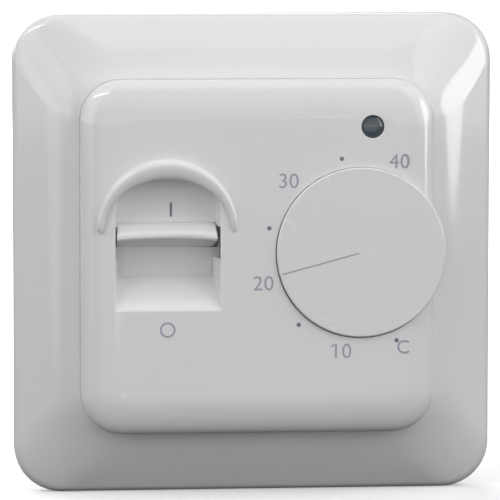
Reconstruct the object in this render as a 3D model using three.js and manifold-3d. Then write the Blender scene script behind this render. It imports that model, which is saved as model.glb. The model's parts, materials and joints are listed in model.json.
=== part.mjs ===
// A flush-mounted wall thermostat for electric floor heating, in millimetres.
// +Z is up, -Y points into the room, and the origin is the centre of the plate on the wall plane.
// In front of the wall: a domed plate, and a square cover with a dial, a switch slide and a lamp.
// In the wall box: a base that holds two circuit boards, a relay, a mains switch and the terminals.
import * as THREE from "three";
import { mergeVertices } from "three/addons/utils/BufferGeometryUtils.js";
import Module from "manifold-3d";

const wasm = await Module();
wasm.setup();

// ---- Driving dimensions ----
const PLATE_HALF = 41; // the plate is 82 x 82
const PLATE_CORNER = 8;
const PLATE_PEAK = -8.3; // where the plate's dome ends, beside the cover
const COVER_HALF = 30; // the cover is 60 x 60
const COVER_CORNER = 7;
const FACE = -14; // the cover's front face
const COVER_WALL = 1.8;
const PILLOW = { width: 7, depth: 2.6 };
const COVER_SKIRT = -4.3; // the rear edge of the cover's side walls
const CLEAR = 0.3; // between pieces that touch on the real object

const DIAL = { x: 17.3, z: 0.85, radius: 14.4, front: -14.6, back: -11 };
const POCKET = { radius: DIAL.radius + 0.35, floor: -10.6, wall: 1.2 };
const SHAFT_RADIUS = 3;

const LAMP = { x: 19.2, z: 22.1, radius: 1.8 };

const SWITCH_X = -15.55; // centre of the switch recess
const RECESS = { half: 8.8, draft: 0.9, archZ: 1.6, archRadius: 11.9, floor: -10.2, back: -8.8 };
const RAMP = { z0: -8.8, z1: -3.5 }; // the sill slopes inwards between these heights
const SLOT_TOP = 6; // the slide shows below this height
const HOOD = { z: 4.9, radius: 11.9, rise: 1.3 };
const SLIDE = { front: -8.5, thick: 1.2, half: 9.3, z0: -4.8, z1: 11.6 };
const TRAVEL = 5.1; // the slide is up, switched on, and moves down this far

const BOX_HALF = 24; // the part of the base inside the wall box
const BOX_CORNER = 12;
const BOX_DEPTH = 22;
const BOX_WALL = 1.6;
const FLANGE_HALF = 35.5;
const FLANGE_THICK = 1.7;
const RIM_HALF = 28;
const RIM_WALL = 1.5;
const RIM_FRONT = -6;
const WALL_SCREW_PITCH = 60;

const BOARD = 1.6;
const POWER_BOARD_FRONT = 9; // y of the rear board's front face
const CONTROL_BOARD_BACK = -2;
const POLES = 6;
const POLE_PITCH = 6;
const TERMINALS = { bottom: -17, top: -6.5, back: 21.4 };
const COVER_SCREW = { x: 10.4, z: 7.5 };

// ---- Finishes ----
const finish = (color, roughness, metalness = 0) =>
  new THREE.MeshStandardMaterial({ color, roughness, metalness });
const WHITE = finish(0xe6e6e4, 0.22);
const DIAL_WHITE = finish(0xe2e2e0, 0.3);
const BASE_WHITE = finish(0xdcdcd6, 0.5);
const LENS = finish(0x56666a, 0.15);
const LED_EPOXY = finish(0xb9c4b0, 0.2);
const BOARD_GREEN = finish(0x2f6b3c, 0.5);
const BLACK = finish(0x1d1e20, 0.4);
const BLUE = finish(0x27548f, 0.4);
const YELLOW = finish(0xd3b53a, 0.4);
const GREY = finish(0x8d9093, 0.45);
const STEEL = finish(0xb4b6b8, 0.3, 1);
const BRASS = finish(0xc6a45a, 0.3, 1);
const COPPER = finish(0xb4683a, 0.4, 1);

// ---- Solids ----
function toSolid(geometry) {
  const bare = geometry.clone();
  bare.deleteAttribute("normal");
  bare.deleteAttribute("uv");
  const merged = mergeVertices(bare, 1e-4);
  return new wasm.Manifold(
    new wasm.Mesh({
      numProp: 3,
      vertProperties: merged.attributes.position.array,
      triVerts: new Uint32Array(merged.index.array),
    }),
  );
}

function toGeometry(solid) {
  const mesh = solid.getMesh();
  const geometry = new THREE.BufferGeometry();
  geometry.setAttribute("position", new THREE.BufferAttribute(mesh.vertProperties, 3));
  geometry.setIndex(new THREE.BufferAttribute(mesh.triVerts, 1));
  return geometry;
}

const join = (...solids) => solids.reduce((whole, solid) => whole.add(solid));
const cut = (solid, ...tools) => tools.reduce((left, tool) => left.subtract(tool), solid);

// A block between two corners.
function block(x0, x1, y0, y1, z0, z1) {
  const geometry = new THREE.BoxGeometry(x1 - x0, y1 - y0, z1 - z0);
  return toSolid(geometry.translate((x0 + x1) / 2, (y0 + y1) / 2, (z0 + z1) / 2));
}

// A round bar along Y.
function rodY(x, z, radius, y0, y1, sides = 20) {
  const geometry = new THREE.CylinderGeometry(radius, radius, y1 - y0, sides);
  return toSolid(geometry.translate(x, (y0 + y1) / 2, z));
}

// A round bar along X.
function rodX(y, z, radius, x0, x1, sides = 16) {
  const geometry = new THREE.CylinderGeometry(radius, radius, x1 - x0, sides);
  return toSolid(geometry.rotateZ(Math.PI / 2).translate((x0 + x1) / 2, y, z));
}

// A body turned about an axis along Y. Its profile is [radius, y] pairs with y falling towards the room.
function turned(x, z, profile, sides = 24) {
  const points = profile.map(([radius, y]) => new THREE.Vector2(radius, y));
  const solid = toSolid(new THREE.LatheGeometry(points, sides));
  if (solid.volume() > 0) return solid.translate([x, 0, z]);
  return toSolid(new THREE.LatheGeometry(points.reverse(), sides)).translate([x, 0, z]);
}

// A flat outline in X and Z, made solid from yBack forwards to yFront.
function slab(outline, yFront, yBack) {
  const shape = new THREE.Shape(outline.map(([x, z]) => new THREE.Vector2(x, z)));
  const geometry = new THREE.ExtrudeGeometry(shape, { depth: yBack - yFront, bevelEnabled: false });
  return toSolid(geometry.rotateX(Math.PI / 2).translate(0, yBack, 0));
}

// A profile in Y and Z, made solid across X.
function across(profile, x0, x1) {
  const shape = new THREE.Shape(profile.map(([y, z]) => new THREE.Vector2(y, z)));
  const geometry = new THREE.ExtrudeGeometry(shape, { depth: x1 - x0, bevelEnabled: false });
  // Turns the drawing's x, y and depth into Y, Z and X.
  const turn = new THREE.Matrix4().set(0, 0, 1, x0, 1, 0, 0, 0, 0, 1, 0, 0, 0, 0, 0, 1);
  return toSolid(geometry.applyMatrix4(turn));
}

function arc(cx, cy, radius, from, to, steps) {
  return Array.from({ length: steps + 1 }, (_, i) => {
    const angle = THREE.MathUtils.degToRad(from + ((to - from) * i) / steps);
    return [cx + radius * Math.cos(angle), cy + radius * Math.sin(angle)];
  });
}

// The outline of a square with round corners, anticlockwise as seen from the room.
function roundedSquare(half, corner, steps = 6) {
  const r = Math.max(corner, 0.01);
  return [
    ...arc(half - r, half - r, r, 0, 90, steps),
    ...arc(r - half, half - r, r, 90, 180, steps),
    ...arc(r - half, r - half, r, 180, 270, steps),
    ...arc(half - r, r - half, r, 270, 360, steps),
  ];
}

// Skins a row of outlines that have the same number of points. Each ring is { outline, y }.
// A closed row runs back to its first ring, as the walls of a frame do. An open row gets flat ends.
function loft(rings, closedRow = false) {
  const count = rings[0].outline.length;
  const positions = rings.flatMap(({ outline, y }) => outline.flatMap(([x, z]) => [x, y, z]));
  const faces = [];
  const spans = closedRow ? rings.length : rings.length - 1;
  for (let i = 0; i < spans; i++) {
    const here = i * count;
    const next = ((i + 1) % rings.length) * count;
    for (let j = 0; j < count; j++) {
      const k = (j + 1) % count;
      faces.push(here + j, next + k, here + k, here + j, next + j, next + k);
    }
  }
  if (!closedRow) {
    const ends = [rings[0], rings[rings.length - 1]];
    ends.forEach(({ outline, y }, end) => {
      const centre = positions.length / 3;
      const middle = [0, 1].map((axis) => outline.reduce((sum, p) => sum + p[axis], 0) / count);
      positions.push(middle[0], y, middle[1]);
      const first = end * (rings.length - 1) * count;
      for (let j = 0; j < count; j++) {
        const k = (j + 1) % count;
        faces.push(...(end ? [centre, first + k, first + j] : [centre, first + j, first + k]));
      }
    });
  }
  const geometry = new THREE.BufferGeometry();
  geometry.setAttribute("position", new THREE.Float32BufferAttribute(positions, 3));
  geometry.setIndex(faces);
  const solid = toSolid(geometry);
  return solid.volume() > 0 ? solid : toSolid(geometry.setIndex(faces.reverse()));
}

// ---- The assembly ----
const thermostat = new THREE.Group();
const groups = {};

function add(groupName, name, solid, material) {
  if (!groups[groupName]) {
    groups[groupName] = new THREE.Group();
    thermostat.add(groups[groupName]);
  }
  const mesh = new THREE.Mesh(toGeometry(solid), material);
  mesh.name = name;
  groups[groupName].add(mesh);
}

// Round-cornered rings at these [half width, y] stations.
const squareRings = (stations, corner, steps) =>
  stations.map(([half, y]) => ({ outline: roundedSquare(half, corner(half), steps), y }));

// The plate: a hollow dome with an inner ledge that the cover presses against the base.
function plate() {
  const opening = COVER_HALF + 0.4;
  const ledge = RIM_HALF + 0.5;
  const stations = [
    [PLATE_HALF, 0],
    [PLATE_HALF, -1.9],
    [40.7, -3.1],
    [39.8, -4.1],
    [38, -5.1],
    [35.6, -6.4],
    [33, -7.6],
    [31.2, -8.15],
    [opening + 0.3, PLATE_PEAK],
    [opening, PLATE_PEAK + 0.3],
    [opening, COVER_SKIRT + CLEAR],
    [ledge, COVER_SKIRT + CLEAR],
    [ledge, -2],
    [32.2, -2],
    [32.2, -6],
    [38.6, -3],
    [39.2, 0],
  ];
  const corner = (half) => THREE.MathUtils.mapLinear(half, RIM_HALF, PLATE_HALF, 6.4, PLATE_CORNER);
  const shell = loft(squareRings(stations, corner, 6), true);
  // Room for the heads of the two screws that hold the base to the wall box.
  return cut(shell, block(27, 34.6, -4.6, 0, -5.5, 5.5), block(-34.6, -27, -4.6, 0, -5.5, 5.5));
}

// The recess that the switch sits in: straight sides under an arch, narrower at its floor.
function recessOutline(half, bottom) {
  const reach = THREE.MathUtils.radToDeg(Math.acos(half / RECESS.archRadius));
  const top = arc(SWITCH_X, RECESS.archZ, RECESS.archRadius, reach, 180 - reach, 12);
  return [[SWITCH_X - half, bottom], [SWITCH_X + half, bottom], ...top];
}

function switchRecess() {
  const { half, draft, floor, back } = RECESS;
  const slope = (y) => (y - FACE) / (back - FACE);
  const level = (y) => recessOutline(half - draft * slope(y), RAMP.z0 + (RAMP.z1 - RAMP.z0) * slope(y));
  const rings = [FACE, floor].map((y) => ({ outline: level(y), y }));
  const hollow = loft([{ outline: level(FACE), y: FACE - 3 }, ...rings]);
  const box = (y) => slotOutline(half - draft * slope(y), RAMP.z0 + (RAMP.z1 - RAMP.z0) * slope(y));
  const slot = loft([
    { outline: box(floor - 0.2), y: floor - 0.2 },
    { outline: box(back), y: back },
    { outline: box(back), y: back + 1 },
  ]);
  return join(hollow, slot);
}

const slotOutline = (half, bottom) => [
  [SWITCH_X - half, bottom],
  [SWITCH_X + half, bottom],
  [SWITCH_X + half, SLOT_TOP],
  [SWITCH_X - half, SLOT_TOP],
];

// The raised eyebrow over the switch. It rises out of the face towards its top.
function hood() {
  const top = HOOD.z + HOOD.radius;
  const wedge = across(
    [
      [FACE + 1, HOOD.z - 1],
      [FACE, HOOD.z - 1],
      [FACE - HOOD.rise, top],
      [FACE + 1, top],
    ],
    SWITCH_X - HOOD.radius,
    SWITCH_X + HOOD.radius,
  );
  return rodY(SWITCH_X, HOOD.z, HOOD.radius, FACE - 2, FACE + 1, 48).intersect(wedge);
}

const HOOK = { x: 12, width: 6, thick: 1.2, outer: 26.2, back: -0.4, nose: 0.9 };

// A snap hook that reaches back from the cover's face into a window in the base's rim.
// side is 1 at the top and -1 at the bottom.
function hook(x, side) {
  const z = (value) => side * value;
  const profile = [
    [FACE + COVER_WALL - 0.3, z(HOOK.outer - HOOK.thick)],
    [HOOK.back - 2.2, z(HOOK.outer - HOOK.thick)],
    [HOOK.back - 2.2, z(HOOK.outer)],
    [HOOK.back - 3, z(HOOK.outer + HOOK.nose)],
    [HOOK.back - 3.8, z(HOOK.outer + HOOK.nose)],
    [HOOK.back - 3.8, z(HOOK.outer)],
    [FACE + COVER_WALL - 0.3, z(HOOK.outer)],
  ];
  return across(side > 0 ? profile : profile.reverse(), x - HOOK.width / 2, x + HOOK.width / 2);
}

// A rail behind the recess, with a lip under the edge of the slide's plate.
// side is -1 on the left and 1 on the right.
function slideRail(side) {
  const x = (value) => SWITCH_X + side * value;
  const back = SLIDE.front + SLIDE.thick;
  const span = (a, b, y0, y1) => block(Math.min(x(a), x(b)), Math.max(x(a), x(b)), y0, y1, -8.4, 8.4);
  return join(
    span(SLIDE.half + 0.3, SLIDE.half + 1.4, RECESS.back - 1, back + 1.4),
    span(SLIDE.half - 0.8, SLIDE.half + 1.4, back + 0.3, back + 1.4),
  );
}

// The edge of the cover's face rolls off along a quarter of an ellipse. These are [half width, y] stations.
function pillow(steps) {
  return Array.from({ length: steps + 1 }, (_, i) => {
    const angle = (Math.PI / 2) * (1 - i / steps);
    const inset = PILLOW.width * (1 - Math.sin(angle));
    return [COVER_HALF - inset, FACE + PILLOW.depth * (1 - Math.cos(angle))];
  });
}

function frontCover() {
  const outer = loft(
    squareRings(
      [
        [COVER_HALF, COVER_SKIRT],
        ...pillow(10),
      ],
      (half) => COVER_CORNER - (COVER_HALF - half) * 0.8,
      8,
    ),
  );
  const innerHalf = COVER_HALF - COVER_WALL;
  const inner = loft(
    squareRings(
      [
        [innerHalf, COVER_SKIRT + 1],
        [innerHalf, FACE + COVER_WALL + 1.9],
        [innerHalf - 1.2, FACE + COVER_WALL + 0.9],
        [innerHalf - 5, FACE + COVER_WALL],
      ],
      () => COVER_CORNER - COVER_WALL,
      6,
    ),
  );
  const shell = outer.subtract(inner);
  const cupRadius = POCKET.radius + POCKET.wall;
  const cup = rodY(DIAL.x, DIAL.z, cupRadius, FACE + 1, POCKET.floor + 1.4, 40).intersect(outer);
  const lampSleeve = rodY(LAMP.x, LAMP.z, 4, FACE + 1, FACE + 3.4);
  const surround = slab(
    recessOutline(RECESS.half + 1.9, -11).map(([x, z]) => [x, z > 5 ? z + 1.6 : z]),
    FACE + 1,
    RECESS.back,
  );
  const rails = [-1, 1].map(slideRail);
  const hooks = [-1, 1].flatMap((side) => [-HOOK.x, HOOK.x].map((x) => hook(x, side)));
  const body = join(shell, cup, lampSleeve, surround, ...rails, hood(), ...hooks);
  return cut(
    body,
    switchRecess(),
    rodY(DIAL.x, DIAL.z, POCKET.radius, FACE - 2, POCKET.floor, 72),
    rodY(DIAL.x, DIAL.z, 5.7, POCKET.floor - 1, POCKET.floor + 3, 24),
    rodY(COVER_SCREW.x, COVER_SCREW.z, 1.7, POCKET.floor - 1, POCKET.floor + 3, 12),
    rodY(LAMP.x, LAMP.z, LAMP.radius + 0.15, FACE - 1, FACE + 2.1, 24),
    rodY(LAMP.x, LAMP.z, LAMP.radius + 1, FACE + 2, FACE + 4.5, 24),
  );
}

// The dial: a shallow cup with a boss that is pushed on the potentiometer's flatted shaft.
function dialKnob() {
  const rim = DIAL.radius;
  const cap = turned(
    DIAL.x,
    DIAL.z,
    [
      [0, DIAL.front],
      [rim - 0.45, DIAL.front],
      [rim - 0.12, DIAL.front + 0.12],
      [rim, DIAL.front + 0.45],
      [rim, DIAL.back],
      [rim - 1.3, DIAL.back],
      [rim - 1.3, DIAL.front + 1.7],
      [5.2, DIAL.front + 1.7],
      [5, -6.4],
      [0, -6.4],
    ],
    72,
  );
  return cap.subtract(dShaft(SHAFT_RADIUS + 0.12, DIAL.front + 2, -5));
}

// A round shaft with one flat, on the dial's axis.
function dShaft(radius, y0, y1) {
  const flat = block(DIAL.x - 4, DIAL.x + 4, y0 - 1, y1 + 1, DIAL.z + radius * 0.6, DIAL.z + 5);
  return rodY(DIAL.x, DIAL.z, radius, y0, y1, 24).subtract(flat);
}

// The shaft ends in the disc that carries the wiper.
const potShaft = () =>
  join(
    dShaft(SHAFT_RADIUS, DIAL.front + 2.4, -6.1),
    rodY(DIAL.x, DIAL.z, 2.5, -6.2, 1.7, 20),
    rodY(DIAL.x, DIAL.z, 3.6, 1.6, 2.3),
  );

function potBody() {
  const body = join(
    rodY(DIAL.x, DIAL.z, 4.7, CONTROL_BOARD_BACK + 0.1, 4.4, 24),
    rodY(DIAL.x, DIAL.z, 3.6, -5.9, CONTROL_BOARD_BACK + 0.2, 20),
    block(DIAL.x - 3.5, DIAL.x + 3.5, -1.9, 2.4, DIAL.z - 6.2, DIAL.z - 3.8),
  );
  return cut(body, rodY(DIAL.x, DIAL.z, 2.75, -7, 1.4, 20), rodY(DIAL.x, DIAL.z, 3.9, 1.3, 5, 20));
}

// The light pipe that shows the lamp through the cover.
const lampLens = () =>
  turned(LAMP.x, LAMP.z, [
    [0, FACE + 0.05],
    [LAMP.radius - 0.35, FACE + 0.1],
    [LAMP.radius, FACE + 0.35],
    [LAMP.radius, FACE + 2.25],
    [LAMP.radius + 0.8, FACE + 2.25],
    [LAMP.radius + 0.8, FACE + 3],
    [0, FACE + 3],
  ]);

const lamp = () =>
  turned(LAMP.x, LAMP.z, [
    [0, -10.7],
    [0.9, -10.4],
    [1.5, -9.4],
    [1.5, -7.9],
    [1.95, -7.9],
    [1.95, -7.1],
    [0, -7.1],
  ]);

const lampSpacer = () => rodY(LAMP.x, LAMP.z, 2.4, -7, CONTROL_BOARD_BACK - BOARD - 0.1);

// ---- The switch slide ----
const LIP = { half: 8.35, taper: 0.75, top: 5.8, bottom: 1.5, front: -13.9 };
const PIN = { z: TRAVEL / 2, half: 1.1, front: -3.9, back: 6.4 };

function switchSlide() {
  const { front, thick, half, z0, z1 } = SLIDE;
  const plate = block(SWITCH_X - half, SWITCH_X + half, front, front + thick, z0, z1);
  // Gaps beside the lip let it flex clear of the recess.
  const gaps = [-1, 1].map((side) => {
    const x = SWITCH_X + side * (LIP.half - LIP.taper + 0.35);
    return block(x - 0.3, x + 0.3, front - 1, front + thick + 1, LIP.bottom, LIP.top);
  });
  return join(cut(plate, ...gaps), slideLip(), slideFork());
}

// The lip that a finger pushes: a wedge with a sloping top, bowed up a little in the middle.
function slideLip() {
  const profile = [
    [SLIDE.front + 0.3, LIP.top],
    [SLIDE.front - 1.9, LIP.top],
    [LIP.front + 0.7, LIP.bottom + 2.8],
    [LIP.front + 0.2, LIP.bottom + 2.4],
    [LIP.front, LIP.bottom + 2.05],
    [LIP.front + 0.1, LIP.bottom + 1.7],
    [LIP.front + 0.6, LIP.bottom + 1.45],
    [SLIDE.front - 0.4, LIP.bottom + 0.2],
    [SLIDE.front + 0.3, LIP.bottom],
  ];
  const wedge = across(profile, SWITCH_X - 10, SWITCH_X + 10);
  // Seen from above, the lip is a little narrower at its root.
  const root = LIP.half - LIP.taper;
  const column = new THREE.Shape([
    new THREE.Vector2(SWITCH_X - LIP.half, LIP.front - 0.3),
    new THREE.Vector2(SWITCH_X + LIP.half, LIP.front - 0.3),
    new THREE.Vector2(SWITCH_X + root, SLIDE.front + 0.4),
    new THREE.Vector2(SWITCH_X - root, SLIDE.front + 0.4),
  ]);
  return wedge.intersect(toSolid(new THREE.ExtrudeGeometry(column, { depth: 8, bevelEnabled: false })));
}

// Two fingers behind the plate hold the mains switch's pin between them.
function slideFork() {
  const back = SLIDE.front + SLIDE.thick;
  const gap = PIN.half + 0.3;
  const finger = (z) => block(SWITCH_X - 1.6, SWITCH_X + 1.6, back - 0.2, 0.2, z - 0.75, z + 0.75);
  return join(
    block(SWITCH_X - 1.6, SWITCH_X + 1.6, back - 0.2, PIN.front - 0.4, PIN.z - gap - 1, PIN.z + gap + 1),
    finger(PIN.z + gap + 0.75),
    finger(PIN.z - gap - 0.75),
  );
}

// ---- The mains switch on the rear board ----
const MAINS = { half: 5, halfZ: 7.5, front: 2.2, run: 4.1 };

function mainsSwitchBody() {
  const { half, halfZ, front, run } = MAINS;
  const body = block(SWITCH_X - half, SWITCH_X + half, front, POWER_BOARD_FRONT - 0.1, -halfZ, halfZ);
  const slot = block(SWITCH_X - 1.4, SWITCH_X + 1.4, front - 1, 5, -run, run);
  const carriage = block(SWITCH_X - 3, SWITCH_X + 3, 4.2, 6.9, -run - 1, run + 1);
  return cut(body, slot, carriage);
}

// The pin with the carriage that moves the contacts.
const mainsSwitchPin = () =>
  join(
    block(SWITCH_X - 1.1, SWITCH_X + 1.1, PIN.front, 5, PIN.z - PIN.half, PIN.z + PIN.half),
    block(SWITCH_X - 2.6, SWITCH_X + 2.6, 4.6, PIN.back, PIN.z - 1.8, PIN.z + 1.8),
  );

// ---- The base ----
const BOX_INNER = BOX_HALF - BOX_WALL;
const boxOutline = (half, corner) => roundedSquare(half, corner, 10);
const BOARD_SCREWS = [-20.2, 20.2].map((x) => ({ x, z: 10.4 }));
const CONTROL_SCREWS = [
  { x: 24, z: 23 },
  { x: 24.4, z: -4 },
];

function base() {
  const flange = slab(roundedSquare(FLANGE_HALF, 5, 4), -FLANGE_THICK, 0);
  const rim = slab(roundedSquare(RIM_HALF, 6, 4), RIM_FRONT, -1);
  const box = slab(boxOutline(BOX_HALF, BOX_CORNER), -1, BOX_DEPTH);
  const rimInside = slab(roundedSquare(RIM_HALF - RIM_WALL, 4.5, 4), RIM_FRONT - 1, -FLANGE_THICK);
  const boxFloor = BOX_DEPTH - BOX_WALL;
  const boxInside = slab(boxOutline(BOX_INNER, BOX_CORNER - BOX_WALL), RIM_FRONT - 1, boxFloor);
  const shell = cut(join(flange, rim, box), rimInside, boxInside);
  const floor = boxFloor + 0.2;
  const boardBack = POWER_BOARD_FRONT + BOARD + 0.1;
  const bosses = BOARD_SCREWS.map(({ x, z }) => rodY(x, z, 2.7, boardBack, floor, 16));
  const column = rodY(COVER_SCREW.x, COVER_SCREW.z, 2.6, POCKET.floor + 1.7, floor, 20);
  const slots = [-1, 1].map((side) => wallScrewSlot((side * WALL_SCREW_PITCH) / 2));
  const headRoom = [-28.1, 28.1].map((x) =>
    block(x - 1.9, x + 1.9, RIM_FRONT - 1, -FLANGE_THICK, -4.6, 4.6),
  );
  const hookWindows = [-1, 1].flatMap((side) =>
    [-HOOK.x, HOOK.x].map((x) => {
      const z = [side * (RIM_HALF - 3), side * (RIM_HALF + 1)];
      return block(x - 3.6, x + 3.6, HOOK.back - 4.2, -FLANGE_THICK - 0.1, Math.min(...z), Math.max(...z));
    }),
  );
  // The terminals and the wires below them are reached from behind and from below.
  const wiring = block(-18.6, 18.6, boardBack + 0.2, BOX_DEPTH + 1, -30, TERMINALS.top + 0.3);
  const vents = [-6, -2, 2, 6].map((x) => block(x - 0.7, x + 0.7, 3, 16, 20, 30));
  const pilots = [
    ...BOARD_SCREWS.map(({ x, z }) => rodY(x, z, 1.25, boardBack - 1, boardBack + 7, 10)),
    ...CONTROL_SCREWS.map(({ x, z }) => rodY(x, z, 0.95, -5, -0.3, 10)),
    rodY(COVER_SCREW.x, COVER_SCREW.z, 1.45, -12, 4, 10),
  ];
  const label = block(-17, 17, BOX_DEPTH - 0.3, BOX_DEPTH + 1, -3, 19);
  const body = join(shell, ...bosses, column);
  return cut(body, ...slots, ...headRoom, ...hookWindows, wiring, ...vents, ...pilots, label);
}

// An upright slot, so that the plate can be levelled on the wall box's screws.
function wallScrewSlot(x) {
  const run = 1.6;
  const half = 1.9;
  const outline = [...arc(x, run, half, 0, 180, 8), ...arc(x, -run, half, 180, 360, 8)];
  return slab(outline, -3, 1);
}

// ---- Boards ----
function powerBoard() {
  const board = slab(boxOutline(BOX_INNER - 0.4, 10), POWER_BOARD_FRONT, POWER_BOARD_FRONT + BOARD);
  const holes = [...BOARD_SCREWS.map(({ x, z }) => [x, z, 1.6]), [COVER_SCREW.x, COVER_SCREW.z, 3]];
  return cut(board, ...holes.map(([x, z, r]) => rodY(x, z, r, 8, 12, 16)));
}

function controlBoard() {
  const front = CONTROL_BOARD_BACK - BOARD;
  const board = block(-4, 25.6, front, CONTROL_BOARD_BACK, -6.5, 24.3);
  const holes = [
    [COVER_SCREW.x, COVER_SCREW.z, 3],
    [DIAL.x, DIAL.z, 3.9],
    ...CONTROL_SCREWS.map(({ x, z }) => [x, z, 1.2]),
  ];
  return cut(board, ...holes.map(([x, z, r]) => rodY(x, z, r, front - 1, CONTROL_BOARD_BACK + 1, 20)));
}

// Six pins that join the two boards.
function boardHeader() {
  const z = 16;
  const strip = block(-3, 12.6, POWER_BOARD_FRONT - 2.6, POWER_BOARD_FRONT - 0.1, z - 1.2, z + 1.2);
  const pins = Array.from({ length: 6 }, (_, i) => {
    const x = -1.6 + i * 2.54;
    return block(x - 0.32, x + 0.32, CONTROL_BOARD_BACK + 0.1, POWER_BOARD_FRONT - 2, z - 0.32, z + 0.32);
  });
  return join(strip, ...pins);
}

// ---- Components ----
const RELAY = { x0: -15, x1: 14, z0: -21.5, z1: -8.8, front: -6.6 };

function relayBase() {
  const { x0, x1, z0, z1 } = RELAY;
  return block(x0, x1, POWER_BOARD_FRONT - 2, POWER_BOARD_FRONT - 0.1, z0, z1);
}

function relayCase() {
  const { x0, x1, z0, z1, front } = RELAY;
  const back = POWER_BOARD_FRONT - 2.1;
  return block(x0, x1, front, back, z0, z1).subtract(
    block(x0 + 0.8, x1 - 0.8, front + 0.9, back + 1, z0 + 0.8, z1 - 0.8),
  );
}

// The coil's core stands along Y with its bobbin, and the yoke runs beside it.
const RELAY_Z = (RELAY.z0 + RELAY.z1) / 2;
const relayCoil = () =>
  turned(-5, RELAY_Z, [
    [0, -2.8],
    [2, -2.8],
    [2, -2.3],
    [4.8, -2.3],
    [4.8, -1.5],
    [4.2, -1.5],
    [4.2, 5.6],
    [4.8, 5.6],
    [4.8, 6.3],
    [0, 6.3],
  ]);
const relayYoke = () =>
  join(
    block(-12, -10.8, -2.4, 6.3, RELAY_Z - 4, RELAY_Z + 4),
    block(-12, -10.2, 5.2, 6.3, RELAY_Z - 4, RELAY_Z + 4),
  );
const relayArmature = () =>
  join(
    block(-12.6, -0.4, -4.1, -3.3, RELAY_Z - 3.8, RELAY_Z + 3.8),
    block(-0.6, 5.4, -3.9, -3.5, RELAY_Z - 1.6, RELAY_Z + 1.6),
  );
const relayContact = () =>
  join(
    block(4.4, 8, 0.6, 1.1, RELAY_Z - 2, RELAY_Z + 2),
    block(7.4, 8, 0.6, 6.6, RELAY_Z - 2, RELAY_Z + 2),
    rodY(5, RELAY_Z, 1.2, -2.2, 0.8, 14),
  );

const filmCapacitor = () => block(-17.3, -4.7, -3, POWER_BOARD_FRONT - 0.1, 13.8, 20);

const electrolytic = (x, z, radius) =>
  turned(x, z, [
    [0, -1.2],
    [radius - 0.5, -1.2],
    [radius, -0.7],
    [radius, 6.4],
    [radius - 0.35, 6.9],
    [radius, 7.4],
    [radius, POWER_BOARD_FRONT - 0.1],
    [0, POWER_BOARD_FRONT - 0.1],
  ], 20);

function varistor() {
  const disc = rodX(3, -12, 4, -20.4, -16.9, 20);
  const legs = [-14.4, -9.6].map((z) =>
    block(-19, -18.2, 4, POWER_BOARD_FRONT - 0.1, z - 0.3, z + 0.3),
  );
  return join(disc, ...legs);
}

// A resistor that lies above the board on its bent leads.
function powerResistor() {
  const z = -5.5;
  const y = 6;
  const body = rodX(y, z, 1.7, -5.6, 4.4, 16);
  const wire = block(-8.4, 7.2, y - 0.3, y + 0.3, z - 0.3, z + 0.3);
  const leads = [-8.1, 6.9].map((x) =>
    block(x - 0.3, x + 0.3, y - 0.3, POWER_BOARD_FRONT - 0.1, z - 0.3, z + 0.3),
  );
  return join(body, wire, ...leads);
}

// An eight-legged chip on the front of the control board.
function comparatorChip() {
  const top = CONTROL_BOARD_BACK - BOARD;
  const body = block(-2.2, 7.4, top - 4, top - 0.7, 13.4, 19.6);
  const legs = [12.6, 20.1].flatMap((z) =>
    Array.from({ length: 4 }, (_, i) => {
      const x = -1.2 + i * 2.54;
      const inner = z > 16 ? z - 1.2 : z + 1.2;
      return join(
        block(x - 0.3, x + 0.3, top - 2.4, top - 1.9, Math.min(z, inner), Math.max(z, inner)),
        block(x - 0.3, x + 0.3, top - 2.4, top - 0.1, z - 0.25, z + 0.25),
      );
    }),
  );
  return join(body, ...legs);
}

// ---- Terminals ----
const poleX = (i) => (i - (POLES - 1) / 2) * POLE_PITCH;
const CLAMP_Z = (TERMINALS.bottom + TERMINALS.top) / 2 - 0.6;

function terminalBlock() {
  const front = POWER_BOARD_FRONT + BOARD + 0.1;
  const { bottom, top, back } = TERMINALS;
  const body = block(-POLES * (POLE_PITCH / 2), POLES * (POLE_PITCH / 2), front, back, bottom, top);
  const wells = Array.from({ length: POLES }, (_, i) => {
    const x = poleX(i);
    return join(
      block(x - 2.3, x + 2.3, front + 1.4, 17.3, bottom - 1, CLAMP_Z + 2.9),
      rodY(x, CLAMP_Z, 2.15, 17, back + 1, 16),
    );
  });
  return cut(body, ...wells);
}

// A rising cage clamp with a square passage for the wire.
function terminalClamp(x) {
  const cage = block(x - 2.1, x + 2.1, 12.4, 17, CLAMP_Z - 2.5, CLAMP_Z + 2.5);
  const passage = block(x - 1.4, x + 1.4, 13.1, 15.9, CLAMP_Z - 3, CLAMP_Z + 3);
  return cut(cage, passage, rodY(x, CLAMP_Z, 1.35, 15, 18, 12));
}

// A screw along Y. The driver enters its head at `outside`, and the head's other face is at `seat`.
function slottedScrew(x, z, { head, shank, outside, seat, tip }) {
  const span = (radius, a, b, sides) => rodY(x, z, radius, Math.min(a, b), Math.max(a, b), sides);
  const inwards = Math.sign(seat - outside);
  const body = join(span(head, outside, seat, 18), span(shank, seat - inwards * 0.1, tip, 12));
  const ends = [outside - inwards, outside + inwards * 0.8];
  return body.subtract(block(x - 5, x + 5, Math.min(...ends), Math.max(...ends), z - 0.35, z + 0.35));
}

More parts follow.
